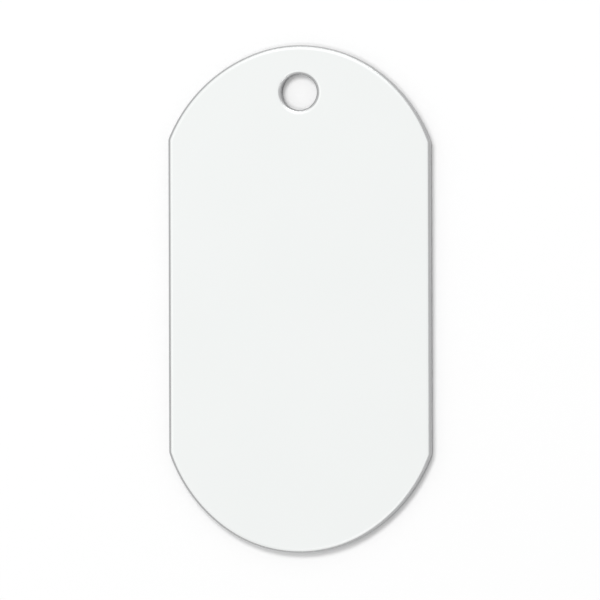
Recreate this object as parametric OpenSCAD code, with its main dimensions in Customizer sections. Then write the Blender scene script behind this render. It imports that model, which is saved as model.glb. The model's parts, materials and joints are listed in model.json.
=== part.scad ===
// Identification tag: a blanked metal plate with arched ends and one hole,
// carrying a white gloss coat on its front face.
// X is across the tag, Y along it towards the hole, Z out of the front face.
// The origin is under the middle of the tag, on the plane of its back.

/* [Plate] */
// Length over both arched ends
tag_l = 50.8; // [44:0.1:60]
// Width across the straight sides
tag_w = 26.6; // [22:0.1:32]
// Thickness of the metal
metal_t = 1.2; // [0.8:0.05:2]

/* [Ends] */
// Height of an end, from its corners to its crown
end_h = 9.8; // [8:0.1:12]
// Crown radius as a share of the single arc that would span the end
crown_share = 0.96; // [0.9:0.005:0.98]
// Flank radius as a share of the same single arc
flank_share = 1.1; // [1.05:0.005:1.2]

/* [Hole] */
// Diameter of the hole in the metal
hole_d = 3.6; // [3:0.1:5]
// Distance from the hole's axis to the crown of the upper end
hole_drop = 4.7; // [4:0.1:8]

/* [Edges] */
// Width of the metal's rounded rim that the coat leaves bare
bare_w = 0.2; // [0.1:0.01:0.3]
// Width of the rolled shoulder, from the wall to the flat face
roll_w = 0.5; // [0.35:0.01:0.7]
// Radius of the rolled shoulder
roll_r = 1; // [0.8:0.05:1.5]
// Radius of the smoothed edge at the back
foot_r = 0.1; // [0.05:0.01:0.2]

/* [Coat] */
// Thickness of the white coat
coat_t = 0.06; // [0.04:0.01:0.12]
// Clearance between the coat and the metal
coat_gap = 0.01; // [0.005:0.005:0.03]

/* [Hidden] */
$fn = 96;

half_w = tag_w / 2;
half_l = tag_l / 2;
hole_y = half_l - hole_drop;

// One arc through both corners and the crown, and the two arcs that share its place
span_r = (half_w ^ 2 + end_h ^ 2) / (2 * end_h);
crown_r = crown_share * span_r;
flank_r = flank_share * span_r;

// The flank runs through the corner and meets the crown without a kink, so its centre lies
// flank_r from the corner and the difference of the radii from the crown's centre
crown_c = [0, half_l - crown_r];
corner = [half_w, half_l - end_h];
radii_step = flank_r - crown_r;
chord = norm(corner - crown_c);
chord_dir = (corner - crown_c) / chord;
chord_part = (radii_step ^ 2 - flank_r ^ 2 + chord ^ 2) / (2 * chord);
chord_off = sqrt(radii_step ^ 2 - chord_part ^ 2);
flank_c = crown_c + chord_part * chord_dir + chord_off * [chord_dir.y, -chord_dir.x];
crown_angle = atan2(crown_c.x - flank_c.x, crown_c.y - flank_c.y);

// The shoulder falls away to roll_angle, where the rim's smaller arc takes over
roll_angle = asin((roll_w - bare_w) / roll_r);
rim_r = bare_w / (1 - sin(roll_angle));
roll_c = [-roll_w, metal_t - roll_r];
rim_c = roll_c + (roll_r - rim_r) * [sin(roll_angle), cos(roll_angle)];

// The plug that is taken out round the hole, a little wider than the hole's rolled rim,
// where the ring with that rim goes in
plug_spare = 0.2;
ring_r = hole_d / 2 + roll_w + plug_spare;

// Far enough to pass any edge of the tag, and how far a cut runs past what it cuts
reach = 2 * (tag_l + tag_w);
cut = 1;

// How far the middle strip runs into each end
lap = 2;

// Slice of a plane at centre, from upright to angle on the right
module slice(centre, angle) {
    translate(centre) polygon([[0, 0], [0, reach], reach * [sin(angle), cos(angle)]]);
}

// Edge section of the metal: the wall stands at x = 0 and the plate lies at x < 0
module metal_section() {
    intersection() {
        union() {
            translate([-reach, 0]) square([reach - roll_w, metal_t]);
            translate([-reach, 0]) square([reach - foot_r, rim_c.y]);
            translate([-roll_w, foot_r]) square([roll_w, rim_c.y - foot_r]);
            translate([-foot_r, foot_r]) circle(foot_r);
            translate(rim_c) circle(rim_r);
            intersection() {
                translate(roll_c) circle(roll_r);
                slice(roll_c, roll_angle);
            }
        }
        translate([-reach, 0]) square([reach, metal_t]);
    }
}

// Everything under the coat's outer skin, which ends square to the shoulder
module coat_top_section() {
    rise = coat_gap + coat_t;
    translate([-reach, 0]) square([reach - roll_w, metal_t + rise]);
    intersection() {
        translate(roll_c) circle(roll_r + rise);
        slice(roll_c, roll_angle);
        translate([-reach, 0]) square([2 * reach, reach]);
    }
}

// Everything under the coat's inner skin, which runs on past the coat's edge
module coat_under_section() {
    skin_r = roll_r + coat_gap;
    translate([-reach, -cut]) square([reach - roll_w, metal_t + coat_gap + cut]);
    translate([-roll_w - cut, -cut]) square([skin_r + cut, roll_c.y + cut]);
    intersection() {
        translate(roll_c) circle(skin_r);
        translate(roll_c) square(reach);
    }
}

module coat_section() {
    difference() {
        coat_top_section();
        coat_under_section();
    }
}

// Round plate of radius r, with the edge section that is handed in
module disc(centre, r) {
    translate(centre) rotate_extrude() intersection() {
        translate([r, 0]) children();
        translate([0, -reach]) square([reach, 2 * reach]);
    }
}

// Straight strip from y_low to y_high, with the same edge section along both sides
module strip(y_low, y_high) {
    translate([0, y_high, 0]) rotate([90, 0, 0]) linear_extrude(y_high - y_low) intersection() {
        translate([half_w, 0]) children();
        mirror([1, 0]) translate([half_w, 0]) children();
    }
}

// Pointed upper end: the sides and two flanks that cross on the tag's long axis
module pointed_end(y_low) {
    intersection() {
        strip(y_low, half_l + end_h) children();
        disc(flank_c, flank_r) children();
        mirror([1, 0, 0]) disc(flank_c, flank_r) children();
    }
}

// The part of space where the crown takes the place of the flanks' point
module crown_wedge() {
    translate([0, 0, -reach]) linear_extrude(2 * reach) {
        slice(crown_c, crown_angle);
        mirror([1, 0]) slice(crown_c, crown_angle);
    }
}

// Ring round the hole, whose rim has the edge section that is handed in
module hole_ring() {
    translate([0, hole_y, 0]) rotate_extrude() intersection() {
        translate([hole_d / 2, 0]) mirror([1, 0]) children();
        translate([0, -reach]) square([ring_r, 2 * reach]);
    }
}

// First child with its plug out and the second child in its place
module with_ring() {
    difference() {
        children(0);
        translate([0, hole_y, -reach]) cylinder(r = ring_r, h = 2 * reach);
    }
    children(1);
}

// What is handed in, and its mirror image at the lower end
module both_ends() {
    children();
    mirror([0, 1, 0]) children();
}

module metal_end() {
    difference() {
        pointed_end(flank_c.y) metal_section();
        crown_wedge();
    }
    intersection() {
        disc(crown_c, crown_r) metal_section();
        crown_wedge();
    }
}

module metal_blank() {
    color("silver") with_ring() {
        union() {
            strip(-flank_c.y - lap, flank_c.y + lap) metal_section();
            both_ends() metal_end();
        }
        hole_ring() metal_section();
    }
}

module coat_middle() {
    difference() {
        strip(-flank_c.y - lap, flank_c.y + lap) coat_top_section();
        strip(-flank_c.y - lap - cut, flank_c.y + lap + cut) coat_under_section();
    }
}

module coat_end() {
    difference() {
        pointed_end(flank_c.y) coat_top_section();
        pointed_end(flank_c.y - cut) coat_under_section();
        crown_wedge();
    }
    intersection() {
        disc(crown_c, crown_r) coat_section();
        crown_wedge();
    }
}

module face_coat() {
    color("whitesmoke") with_ring() {
        union() {
            coat_middle();
            both_ends() coat_end();
        }
        hole_ring() coat_section();
    }
}

metal_blank();
face_coat();
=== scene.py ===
"""Identification tag lying face up on a pale floor, seen from almost straight above.

The plate is blanked from sheet metal: its front edge is rolled over, its walls carry the bright
and the torn band that shears leave, and a white gloss coat covers the front up to a bare rim.
"""
import json
import math

import bpy
import numpy as np
from mathutils import Matrix, Vector


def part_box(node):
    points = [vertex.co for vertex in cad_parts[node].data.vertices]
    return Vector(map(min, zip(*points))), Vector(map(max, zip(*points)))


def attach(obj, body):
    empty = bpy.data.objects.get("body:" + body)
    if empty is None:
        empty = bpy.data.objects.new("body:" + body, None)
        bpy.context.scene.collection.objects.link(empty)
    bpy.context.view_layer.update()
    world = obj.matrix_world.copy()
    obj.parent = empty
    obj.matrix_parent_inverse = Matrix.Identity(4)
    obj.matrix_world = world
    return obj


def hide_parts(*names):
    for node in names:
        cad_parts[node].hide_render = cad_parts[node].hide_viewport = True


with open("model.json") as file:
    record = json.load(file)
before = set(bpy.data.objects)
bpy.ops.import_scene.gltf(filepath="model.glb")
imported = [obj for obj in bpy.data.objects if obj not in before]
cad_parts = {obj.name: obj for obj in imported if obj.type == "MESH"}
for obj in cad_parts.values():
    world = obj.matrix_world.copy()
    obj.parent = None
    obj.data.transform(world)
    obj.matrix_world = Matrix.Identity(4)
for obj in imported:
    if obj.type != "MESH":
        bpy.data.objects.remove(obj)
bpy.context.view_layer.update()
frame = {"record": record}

MM = 0.001

# Plate, from the frame
plate_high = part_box("metal_blank")[1]
HALF_W = plate_high.x
HALF_L = plate_high.y
METAL_T = plate_high.z
chain_hole = next(m for m in frame["record"]["mounts"] if m["name"] == "chain_hole")
HOLE_C = np.array(chain_hole["pos_m"][:2])
HOLE_R = chain_hole["dims"]["r_mm"] * MM

# The outline's quarters, from the right side's middle round by the hole's end. The die isn't quite
# even, so each has its own height of end, and its own radii of crown and flank as shares of the
# one arc that would span it
END_H = np.array([9.8, 9.35, 10.1, 9.8]) * MM
CROWN_SHARE = (0.962, 0.905, 0.955, 0.945)
FLANK_SHARE = (1.1, 1.07, 1.135, 1.125)
QUARTER_SIGN = ((1, 1), (-1, 1), (-1, -1), (1, -1))
CORNER_R = 0.6 * MM

# Edge section: the shoulder, the slope where the rim takes over from it, and the smoothed foot
ROLL_W = 0.5 * MM
ROLL_R = 1.0 * MM
ROLL_END = math.radians(26)
FOOT_R = 0.1 * MM
# The slopes between which the rolled rim turns into sheared wall
SHEAR_FROM = math.radians(26)
SHEAR_FULL = math.radians(45)

# The wall's bright band as a share of its height, and the torn band's depth under it
BURNISH_SHARE = 0.42
TEAR_DEPTH = 0.014 * MM
# How far the tear's start wanders up and down in long and in short waves, and how soon it is at
# full depth, as shares of the wall's height, and how much its depth varies, as a share of itself
LONG_WANDER = 0.05
SHORT_WANDER = 0.03
TEAR_RUN = 0.08
TEAR_VARIES = 0.25
# The span from which each of them draws its counts of waves round the tag, how many cosines make
# one ripple, and the seeds of the outer wall and of the hole's
LONG_WAVES = (6, 60)
SHORT_WAVES = (60, 220)
DEPTH_WAVES = (150, 400)
RIPPLE_COSINES = 24
RIM_SEED = 3
HOLE_SEED = 11

# Coat: its gap and height over the metal, the width of its rounded lip, and the metal left bare at
# the rim and at the hole, with what is added across the tag and taken off along it
COAT_GAP = 0.004 * MM
COAT_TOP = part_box("face_coat")[1].z
COAT_RISE = COAT_TOP - METAL_T
LIP_W = 0.05 * MM
BARE_W = 0.2 * MM
HOLE_BARE_W = 0.235 * MM
BARE_MORE = 0.035 * MM

# Mesh: stations round the outline, the samples that spread them, rings on each arc, on the wall
# and on each skin, and the step of the rings that keep a flat face flat beside an arc
STATIONS = 900
OUTLINE_SAMPLES = 40001
ROLL_RINGS = 8
RIM_RINGS = 9
WALL_RINGS = 18
FOOT_RINGS = 7
SKIN_RINGS = 8
FLAT_STEP = 0.03 * MM

# Noise scales, in grains to a metre along X, Y and Z
GRAIN_SCALE = (14000, 260, 14000)
SHEET_CLOUD_SCALE = (220, 160, 220)
STREAK_SCALE = (9000, 9000, 500)
GRIT_SCALE = (12000, 12000, 9000)
WANDER_SCALE = (900, 900, 900)
PEEL_SCALE = (1500, 1500, 1500)
COAT_CLOUD_SCALE = (70, 70, 70)

# Colours, as a pair that noise blends or as one
SHEET_COLOURS = ((0.80, 0.805, 0.81, 1), (0.86, 0.865, 0.87, 1))
BRIGHT_COLOURS = ((0.54, 0.545, 0.55, 1), (0.64, 0.645, 0.65, 1))
TORN_COLOURS = ((0.52, 0.525, 0.53, 1), (0.68, 0.685, 0.69, 1))
# The hole's wall and rim take a darker colour than the outer wall: painted shade, standing in for the
# shade inside the hole
BORE_SHADE_COLOUR = (0.42, 0.425, 0.43, 1)
METAL_EDGE_TINT = (0.75, 0.75, 0.75, 1)
COAT_COLOURS = ((0.773, 0.791, 0.783, 1), (0.783, 0.799, 0.792, 1))
FLOOR_COLOUR = (0.9, 0.9, 0.9, 1)
SURROUND_COLOUR = (1, 1, 1, 1)

# Roughness: what noise adds at most, and what it is added to, or one value
SHEET_ROUGH = (0.12, 0.20)
BRIGHT_ROUGH = (0.10, 0.06)
TORN_ROUGH = 0.18
COAT_ROUGH = (0.04, 0.22)
COAT_IOR = 1.42

# Fine relief: its height on metal and coat, and the share of it that each kind of metal shows
METAL_RELIEF = 0.004 * MM
COAT_RELIEF = 0.003 * MM
GRAIN_RELIEF = 0.6
STREAK_RELIEF = 0.4
GRIT_RELIEF = 0.6
# How far the torn band's colour wanders up and down in all, and how soft its start is
TORN_WANDER = 0.12 * MM
TORN_BLEND = 0.05 * MM

# The photograph's frame: its width in picture elements, how many make a millimetre on the tag, and
# the tag's middle in it
PICTURE_PX = 600
PX_TO_MM = 10.0
TAG_MIDDLE_PX = (298.85, 298.55)

# View: how far it leans to the right and down, its turn about its own line, and its lens
LEAN_RIGHT = 0.17
LEAN_DOWN = 0.012
ROLL_ANGLE = math.radians(-0.16)
LENS_MM = 1000
SENSOR_MM = 36
CLIP_NEAR = 0.01
CLIP_FAR = 10

# Floor, a hair under the tag's back
FLOOR_HALF = 3.0
FLOOR_DROP = 0.002 * MM

# Lamps: their height, the middle, size and radiance of each, and the surround's radiance
LAMP_UP = 1.6
LAMPS = (
    ("key", (-0.12, 0.44), (0.48, 0.36), 11.1),
    ("side", (-0.38, 0.04), (0.20, 0.24), 7.4),
    ("fill", (-0.01, -0.26), (0.38, 0.20), 6.9),
)
SURROUND = 0.48


def quarter_arcs(end_h, crown_share, flank_share):
    """Centres, radii and normal angles of a quarter's arcs, and the distances where they start.

    One arc through both corners and the crown has the radius (w*w + h*h) / (2*h). The crown takes
    a little less and the flank a little more. The flank's centre lies at its own radius from the
    corner and at the difference of the radii from the crown's centre, so the two arcs share a
    tangent. A small corner arc, tangent to the side and inside the flank, eases the corner."""
    span = (HALF_W**2 + end_h**2) / (2 * end_h)
    crown_r, flank_r = crown_share * span, flank_share * span
    crown_c = np.array([0, HALF_L - crown_r])
    corner = np.array([HALF_W, HALF_L - end_h])
    step = flank_r - crown_r
    chord = np.hypot(*(corner - crown_c))
    toward = (corner - crown_c) / chord
    part = (step**2 - flank_r**2 + chord**2) / (2 * chord)
    off = math.sqrt(step**2 - part**2)
    flank_c = crown_c + part * toward + off * np.array([toward[1], -toward[0]])
    corner_x = HALF_W - CORNER_R
    rise = math.sqrt((flank_r - CORNER_R) ** 2 - (corner_x - flank_c[0]) ** 2)
    corner_c = np.array([corner_x, flank_c[1] + rise])
    corner_end = math.atan2(*(corner_c - flank_c)[::-1])
    flank_end = math.atan2(*(crown_c - flank_c)[::-1])
    centres = np.array([corner_c, flank_c, crown_c])
    radii = np.array([CORNER_R, flank_r, crown_r])
    angles = np.array([0, corner_end, flank_end, math.pi / 2])
    knots = np.cumsum([0, corner_c[1], *(radii * np.diff(angles))])
    return centres, radii, angles, knots


QUARTERS = [quarter_arcs(*sizes) for sizes in zip(END_H, CROWN_SHARE, FLANK_SHARE)]
QUARTER_STARTS = np.cumsum([0, *(knots[-1] for *_, knots in QUARTERS)])
ROUND = QUARTER_STARTS[-1]


def outline(along):
    """Points and unit normals of the outline at distances along it, from the right side's middle.

    On a quarter the normal's angle stays 0 along the straight side and then grows evenly with the
    distance on each arc, and a point is its arc's centre plus the radius along the normal. The
    other quarters are mirror images, run backwards where that keeps the direction round."""
    along = along % ROUND
    point, normal = np.empty((2, len(along), 2))
    for turn, (centres, radii, angles, knots) in enumerate(QUARTERS):
        here = (along >= QUARTER_STARTS[turn]) & (along < QUARTER_STARTS[turn + 1])
        d = along[here] - QUARTER_STARTS[turn]
        if turn % 2:
            d = knots[-1] - d
        angle = np.interp(d, knots, [0, *angles])
        ray = np.stack([np.cos(angle), np.sin(angle)], axis=-1)
        arc = np.clip(np.searchsorted(knots, d, side="right") - 2, 0, len(radii) - 1)
        place = centres[arc] + radii[arc, None] * ray
        straight = d < knots[1]
        place[straight] = np.stack([np.full(straight.sum(), HALF_W), d[straight]], axis=-1)
        point[here] = place * QUARTER_SIGN[turn]
        normal[here] = ray * QUARTER_SIGN[turn]
    return point, normal


def station_places(count):
    """Distances along the outline, spread evenly over the mean of two measures.

    The first is the share of the outline's length, the second the share of a full turn made by
    the ray from the hole, so that neither the rim nor the hole gets coarse."""
    dense = np.linspace(0, ROUND, OUTLINE_SAMPLES)
    ray = outline(dense)[0] - HOLE_C
    turned = np.unwrap(np.arctan2(ray[:, 1], ray[:, 0]))
    share = 0.5 * dense / dense[-1] + 0.5 * (turned - turned[0]) / (2 * math.pi)
    return np.interp(np.arange(count) / count, share, dense)


ALONG = station_places(STATIONS)
RIM_POINT, RIM_NORMAL = outline(ALONG)
HOLE_RAY = RIM_POINT - HOLE_C
HOLE_RAY /= np.hypot(HOLE_RAY[:, 0], HOLE_RAY[:, 1])[:, None]


def ripple(seed, waves):
    """A smooth random line round the tag, about -1 to 1: a sum of cosines of whole wave counts."""
    rng = np.random.default_rng(seed)
    counts = rng.integers(waves[0], waves[1], RIPPLE_COSINES)
    phases = rng.uniform(0, 2 * math.pi, RIPPLE_COSINES)
    wave = np.cos(2 * math.pi * counts * ALONG[:, None] / ROUND + phases)
    return wave.sum(axis=1) / math.sqrt(RIPPLE_COSINES)


def rim_rings(inset, height):
    """Rings round the tag, each at an inset from the wall, square to it, and at a height."""
    flat = RIM_POINT[None] - inset[..., None] * RIM_NORMAL[None]
    return np.concatenate([flat, np.broadcast_to(height, inset.shape)[..., None]], axis=-1)


def hole_rings(inset, height):
    """Rings round the hole, each as far outside its wall as inset says, and at a height."""
    flat = HOLE_C + (HOLE_R + inset)[..., None] * HOLE_RAY[None]
    return np.concatenate([flat, np.broadcast_to(height, inset.shape)[..., None]], axis=-1)


def spread(values):
    """One value a ring, repeated at every station."""
    return np.repeat(np.asarray(values, float)[:, None], STATIONS, axis=1)


# The rim's smaller arc takes over from the shoulder's where the slope reaches ROLL_END
RIM_R = (ROLL_W - ROLL_R * math.sin(ROLL_END)) / (1 - math.sin(ROLL_END))
ROLL_Z = METAL_T - ROLL_R
WALL_TOP = ROLL_Z + (ROLL_R - RIM_R) * math.cos(ROLL_END)


def metal_section(seed):
    """Inset, height and wall share of the metal's edge, a row a ring, from the face to the back.

    The shoulder and the rim are arcs. The wall is upright down to the end of the bright band, and
    then steps in by the depth of the tear, which wanders along the edge. The foot is an arc."""
    roll = np.linspace(0, ROLL_END, ROLL_RINGS)
    rim = np.linspace(ROLL_END, math.pi / 2, RIM_RINGS)[1:]
    foot = np.linspace(0, math.pi / 2, FOOT_RINGS)[1:]
    drop = np.linspace(0, 1, WALL_RINGS)[1:]
    long_wander = LONG_WANDER * ripple(seed, LONG_WAVES)
    short_wander = SHORT_WANDER * ripple(seed + 1, SHORT_WAVES)
    torn_from = BURNISH_SHARE + long_wander + short_wander
    depth = np.clip((drop[:, None] - torn_from) / TEAR_RUN, 0, 1)
    torn = TEAR_DEPTH * depth * (1 + TEAR_VARIES * ripple(seed + 2, DEPTH_WAVES))
    face_inset = [ROLL_W + 2 * FLAT_STEP, ROLL_W + FLAT_STEP]
    roll_inset = ROLL_W - ROLL_R * np.sin(roll)
    rim_inset = RIM_R * (1 - np.sin(rim))
    foot_inset = FOOT_R * (1 - np.cos(foot))
    back_inset = [FOOT_R + FLAT_STEP, FOOT_R + 2 * FLAT_STEP]
    wall_z = WALL_TOP + (FOOT_R - WALL_TOP) * drop
    inset = np.concatenate([
        spread([*face_inset, *roll_inset, *rim_inset]),
        torn,
        spread(foot_inset) + torn[-1] * np.cos(foot)[:, None],
        spread(back_inset),
    ])
    height = np.concatenate([
        spread([METAL_T, METAL_T, *(ROLL_Z + ROLL_R * np.cos(roll))]),
        spread(WALL_TOP + RIM_R * np.cos(rim)),
        spread(wall_z),
        spread(FOOT_R * (1 - np.sin(foot))),
        spread([0, 0]),
    ])
    share = np.concatenate([
        np.zeros(len(face_inset) + len(roll)),
        np.clip((rim - SHEAR_FROM) / (SHEAR_FULL - SHEAR_FROM), 0, 1),
        np.ones(len(drop) + len(foot) - 1),
        np.zeros(1 + len(back_inset)),
    ])
    return inset, height, share


def coat_section(bare):
    """Inset and height of the coat's edge, a row a ring, from its outer skin to its inner one.

    bare is the width of metal left bare at each station. Both skins run parallel to the shoulder.
    A quarter of an ellipse, LIP_W wide along the shoulder and as high as the coat is thick, brings
    the outer skin down to the inner one at the edge."""
    outer_r, inner_r = ROLL_R + COAT_RISE, ROLL_R + COAT_GAP
    end = np.arcsin((ROLL_W - bare) / ROLL_R)
    lip = LIP_W / ROLL_R
    skin = np.linspace(0, 1, SKIN_RINGS)[:, None] * (end - lip)
    bulge = np.linspace(0, math.pi / 2, SKIN_RINGS)[1:-1, None]
    back = np.linspace(1, 0, SKIN_RINGS)[:, None] * end
    angle = np.concatenate([skin, end - lip + lip * np.sin(bulge), back])
    radius = np.concatenate([
        np.full_like(skin, outer_r),
        inner_r + (outer_r - inner_r) * np.cos(bulge) * np.ones(STATIONS),
        np.full_like(back, inner_r),
    ])
    flat = [ROLL_W + 2 * FLAT_STEP, ROLL_W + FLAT_STEP]
    inset = np.concatenate([spread(flat), ROLL_W - radius * np.sin(angle), spread(flat[::-1])])
    height = np.concatenate([
        spread([COAT_TOP, COAT_TOP]),
        ROLL_Z + radius * np.cos(angle),
        spread([METAL_T + COAT_GAP] * 2),
    ])
    return inset, height


def closed_sheet(name, rings, shares=None):
    """A mesh from rings of points, joined ring to ring and round each ring, and closed both ways.

    shares holds attributes by name, with one value a ring."""
    ring_count, count = rings.shape[:2]
    ring = np.arange(ring_count)[:, None]
    place = np.arange(count)[None]
    after, beside = (ring + 1) % ring_count, (place + 1) % count
    quads = np.stack([
        ring * count + place,
        after * count + place,
        after * count + beside,
        ring * count + beside,
    ], axis=-1).reshape(-1, 4)
    points = rings.reshape(-1, 3)
    a, b, c, d = (points[quads[:, k]] for k in range(4))
    volume = np.einsum("ij,ij->", a, np.cross(b, c) + np.cross(c, d)) / 6
    if volume < 0:
        quads = quads[:, ::-1]
    mesh = bpy.data.meshes.new(name)
    mesh.vertices.add(len(points))
    mesh.vertices.foreach_set("co", points.astype(np.float32).ravel())
    mesh.loops.add(quads.size)
    mesh.loops.foreach_set("vertex_index", quads.ravel())
    mesh.polygons.add(len(quads))
    mesh.polygons.foreach_set("loop_start", np.arange(0, quads.size, 4))
    mesh.update(calc_edges=True)
    mesh.validate()
    mesh.shade_smooth()
    for key, share in (shares or {}).items():
        attribute = mesh.attributes.new(key, "FLOAT", "POINT")
        attribute.data.foreach_set("value", np.repeat(share, count).astype(np.float32))
    piece = bpy.data.objects.new(name, mesh)
    bpy.context.scene.collection.objects.link(piece)
    return piece


def make_plate():
    """The metal: the rim's section outside, the same section run back up inside the hole."""
    rim_inset, rim_height, share = metal_section(RIM_SEED)
    hole_inset, hole_height, _ = metal_section(HOLE_SEED)
    outside = rim_rings(rim_inset, rim_height)
    inside = hole_rings(hole_inset, hole_height)[::-1]
    shares = {
        "wall_share": np.concatenate([share, share[::-1]]),
        # The second share marks the hole's rim and wall, which the metal's material paints darker as
        # shade inside the hole
        "bore_shade_share": np.concatenate([np.zeros(len(share)), share[::-1] > 0]),
    }
    return closed_sheet("stamped_plate", np.concatenate([outside, inside]), shares)


def make_coat():
    """The coat: its edge section at the rim, and the same section at the hole, run back.

    The metal left bare is wider by BARE_MORE where the edge faces straight across the tag, and
    narrower by as much where it faces along it."""
    rim_bare = BARE_W + BARE_MORE * (RIM_NORMAL[:, 0] ** 2 - RIM_NORMAL[:, 1] ** 2)
    hole_bare = HOLE_BARE_W + BARE_MORE * (HOLE_RAY[:, 0] ** 2 - HOLE_RAY[:, 1] ** 2)
    outside = rim_rings(*coat_section(rim_bare))
    inside = hole_rings(*coat_section(hole_bare))[::-1]
    return closed_sheet("white_coat", np.concatenate([outside, inside]))


def add(tree, kind, inputs=None, **settings):
    """A node with its settings, its values and the links that come into it."""
    made = tree.nodes.new(kind)
    for key, value in settings.items():
        setattr(made, key, value)
    for key, value in (inputs or {}).items():
        if isinstance(value, bpy.types.NodeSocket):
            tree.links.new(value, made.inputs[key])
        else:
            made.inputs[key].default_value = value
    return made


def new_material(name):
    """An empty node tree with its output."""
    material = bpy.data.materials.new(name)
    material.use_nodes = True
    material.node_tree.nodes.clear()
    output = material.node_tree.nodes.new("ShaderNodeOutputMaterial")
    return material, material.node_tree, output


def math_node(tree, operation, *values, clamp=False):
    """One step of arithmetic."""
    inputs = dict(enumerate(values))
    return add(tree, "ShaderNodeMath", inputs, operation=operation, use_clamp=clamp).outputs[0]


def gain(tree, value, most, base):
    """base, with most added where value is 1."""
    return math_node(tree, "MULTIPLY_ADD", value, most, base)


def blend_value(tree, factor, low, high):
    """low where factor is 0 and high where it is 1."""
    node = add(tree, "ShaderNodeMix", {0: factor, 2: low, 3: high}, data_type="FLOAT")
    return node.outputs[0]


def blend_colour(tree, factor, low, high):
    """The same for two colours."""
    node = add(tree, "ShaderNodeMix", {0: factor, 6: low, 7: high}, data_type="RGBA")
    return node.outputs[2]


def stretched_noise(tree, scale, detail, roughness=0.6):
    """Noise in the tag's own coordinates, with its own number of grains to a metre each way."""
    place = add(tree, "ShaderNodeTexCoord").outputs["Object"]
    scaled = add(tree, "ShaderNodeMapping", {"Vector": place, "Scale": scale}).outputs[0]
    settings = {"Vector": scaled, "Scale": 1.0, "Detail": detail, "Roughness": roughness}
    return add(tree, "ShaderNodeTexNoise", settings).outputs[0]


def bumped(tree, height, most):
    """The normal of a surface raised by up to most where height is 1."""
    inputs = {"Height": height, "Distance": most, "Strength": 1.0}
    return add(tree, "ShaderNodeBump", inputs).outputs[0]


def bare_aluminium():
    """Rolled sheet with its grain along the tag, and sheared walls with a bright and a torn band, with
    painted shade darkening the walls inside the hole.
    """
    material, tree, output = new_material("bare_aluminium")
    wall = add(tree, "ShaderNodeAttribute", attribute_name="wall_share").outputs["Fac"]
    bore_shade_mask = add(tree, "ShaderNodeAttribute", attribute_name="bore_shade_share").outputs["Fac"]
    place = add(tree, "ShaderNodeTexCoord").outputs["Object"]
    height = add(tree, "ShaderNodeSeparateXYZ", {0: place}).outputs["Z"]

    grain = stretched_noise(tree, GRAIN_SCALE, detail=4.0)
    cloud = stretched_noise(tree, SHEET_CLOUD_SCALE, detail=2.0)
    streak = stretched_noise(tree, STREAK_SCALE, detail=3.0)
    grit = stretched_noise(tree, GRIT_SCALE, detail=5.0, roughness=0.7)
    wander = stretched_noise(tree, WANDER_SCALE, detail=2.0)

    tear_z = WALL_TOP + (FOOT_R - WALL_TOP) * BURNISH_SHARE
    torn_top = gain(tree, wander, TORN_WANDER, tear_z - TORN_WANDER / 2)
    below = math_node(tree, "SUBTRACT", torn_top, height)
    torn = math_node(tree, "MULTIPLY", below, 1 / TORN_BLEND, clamp=True)

    sheet_colour = blend_colour(tree, cloud, *SHEET_COLOURS)
    bright_colour = blend_colour(tree, streak, *BRIGHT_COLOURS)
    torn_colour = blend_colour(tree, grit, *TORN_COLOURS)
    outer_colour = blend_colour(tree, torn, bright_colour, torn_colour)
    # Painted shade: inside the hole the wall's colour is blended to a darker one
    wall_colour_and_bore_shade = blend_colour(tree, bore_shade_mask, outer_colour, BORE_SHADE_COLOUR)
    colour = blend_colour(tree, wall, sheet_colour, wall_colour_and_bore_shade)

    sheet_rough = gain(tree, grain, *SHEET_ROUGH)
    bright_rough = gain(tree, streak, *BRIGHT_ROUGH)
    wall_rough = blend_value(tree, torn, bright_rough, TORN_ROUGH)
    roughness = blend_value(tree, wall, sheet_rough, wall_rough)

    grain_relief = math_node(tree, "MULTIPLY", grain, GRAIN_RELIEF)
    streak_relief = math_node(tree, "MULTIPLY", streak, STREAK_RELIEF)
    grit_relief = math_node(tree, "MULTIPLY", grit, GRIT_RELIEF)
    wall_relief = blend_value(tree, torn, streak_relief, grit_relief)
    relief = blend_value(tree, wall, grain_relief, wall_relief)
    shader = add(
        tree,
        "ShaderNodeBsdfPrincipled",
        {
            "Base Color": colour,
            "Roughness": roughness,
            "Normal": bumped(tree, relief, METAL_RELIEF),
            "Metallic": 1.0,
            "Specular Tint": METAL_EDGE_TINT,
        },
    )
    tree.links.new(shader.outputs[0], output.inputs["Surface"])
    return material


def baked_white():
    """White gloss coat with a faint cool tint and the slight peel of a baked finish."""
    material, tree, output = new_material("baked_white")
    peel = stretched_noise(tree, PEEL_SCALE, detail=2.0, roughness=0.45)
    cloud = stretched_noise(tree, COAT_CLOUD_SCALE, detail=2.0)
    shader = add(
        tree,
        "ShaderNodeBsdfPrincipled",
        {
            "Base Color": blend_colour(tree, cloud, *COAT_COLOURS),
            "Roughness": gain(tree, cloud, *COAT_ROUGH),
            "Normal": bumped(tree, peel, COAT_RELIEF),
            "IOR": COAT_IOR,
        },
    )
    tree.links.new(shader.outputs[0], output.inputs["Surface"])
    return material


def pale_floor():
    """Plain matt white."""
    material, tree, output = new_material("pale_floor")
    shader = add(tree, "ShaderNodeBsdfDiffuse", {"Color": FLOOR_COLOUR})
    tree.links.new(shader.outputs[0], output.inputs["Surface"])
    return material


def lay_floor():
    """A level square under the tag."""
    half = FLOOR_HALF
    mesh = bpy.data.meshes.new("floor")
    corners = [(-half, -half, 0), (half, -half, 0), (half, half, 0), (-half, half, 0)]
    mesh.from_pydata(corners, [], [(0, 1, 2, 3)])
    floor = bpy.data.objects.new("floor", mesh)
    floor.location.z = -FLOOR_DROP
    bpy.context.scene.collection.objects.link(floor)
    mesh.materials.append(pale_floor())


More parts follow.
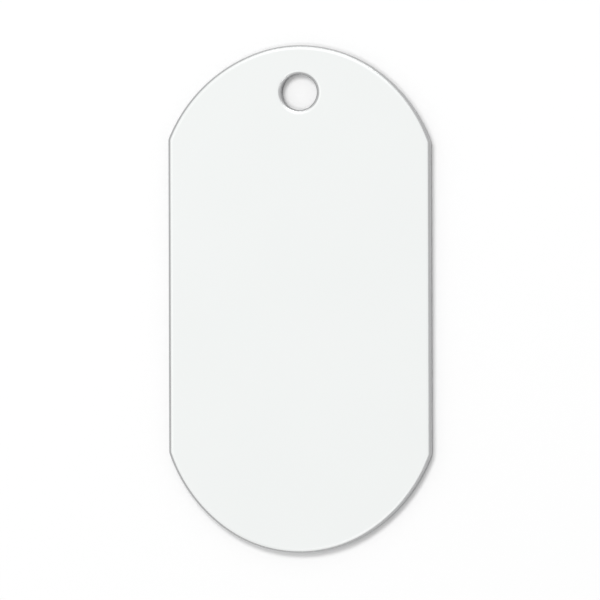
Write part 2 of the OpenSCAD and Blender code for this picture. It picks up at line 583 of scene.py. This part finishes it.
def set_camera():
    """A view through a very long lens, from a little to the right of and below straight above.

    The camera stands so far off that the picture's width is PICTURE_PX / PX_TO_MM at the tag."""
    toward = Vector((LEAN_RIGHT, -LEAN_DOWN, math.sqrt(1 - LEAN_RIGHT**2 - LEAN_DOWN**2)))
    up = (Vector((0, 1, 0)) - toward.y * toward).normalized()
    right = up.cross(toward)
    turn = Matrix.Rotation(ROLL_ANGLE, 3, toward)
    up, right = turn @ up, turn @ right
    frame_middle = (PICTURE_PX - 1) / 2
    shift_x = (frame_middle - TAG_MIDDLE_PX[0]) / PX_TO_MM * MM
    shift_y = (TAG_MIDDLE_PX[1] - frame_middle) / PX_TO_MM * MM
    target = Vector((0, 0, METAL_T)) + shift_x * right + shift_y * up
    camera = bpy.data.cameras.new("camera")
    camera.lens, camera.sensor_width = LENS_MM, SENSOR_MM
    camera.clip_start, camera.clip_end = CLIP_NEAR, CLIP_FAR
    far = PICTURE_PX / PX_TO_MM * MM * LENS_MM / SENSOR_MM
    holder = bpy.data.objects.new("camera", camera)
    spin = Matrix((right, up, toward)).transposed().to_4x4()
    holder.matrix_world = Matrix.Translation(target + far * toward) @ spin
    bpy.context.scene.collection.objects.link(holder)
    bpy.context.scene.camera = holder


def softbox(name, middle, size, radiance):
    """A level rectangular lamp overhead, its middle and size given as shares of its height.

    The radiance is counted in that of a surround which alone would light a white floor fully, so
    the lamp's power is pi times its area times that radiance."""
    light = bpy.data.lights.new(name, "AREA")
    light.shape = "RECTANGLE"
    light.size, light.size_y = size[0] * LAMP_UP, size[1] * LAMP_UP
    light.energy = math.pi * light.size * light.size_y * radiance
    holder = bpy.data.objects.new(name, light)
    holder.location = (middle[0] * LAMP_UP, middle[1] * LAMP_UP, LAMP_UP)
    bpy.context.scene.collection.objects.link(holder)


def set_light():
    """A softbox off the hole's end, a small one on the left, one off the foot, and a pale surround."""
    for lamp in LAMPS:
        softbox(*lamp)
    world = bpy.data.worlds.new("surround")
    world.use_nodes = True
    background = world.node_tree.nodes["Background"]
    background.inputs["Color"].default_value = SURROUND_COLOUR
    background.inputs["Strength"].default_value = SURROUND
    bpy.context.scene.world = world
    bpy.context.scene.view_settings.view_transform = "Standard"


set_camera()
set_light()
lay_floor()

plate = make_plate()
plate.data.materials.append(bare_aluminium())
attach(plate, "root")
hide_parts("metal_blank")

coat = make_coat()
coat.data.materials.append(baked_white())
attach(coat, "root")
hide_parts("face_coat")
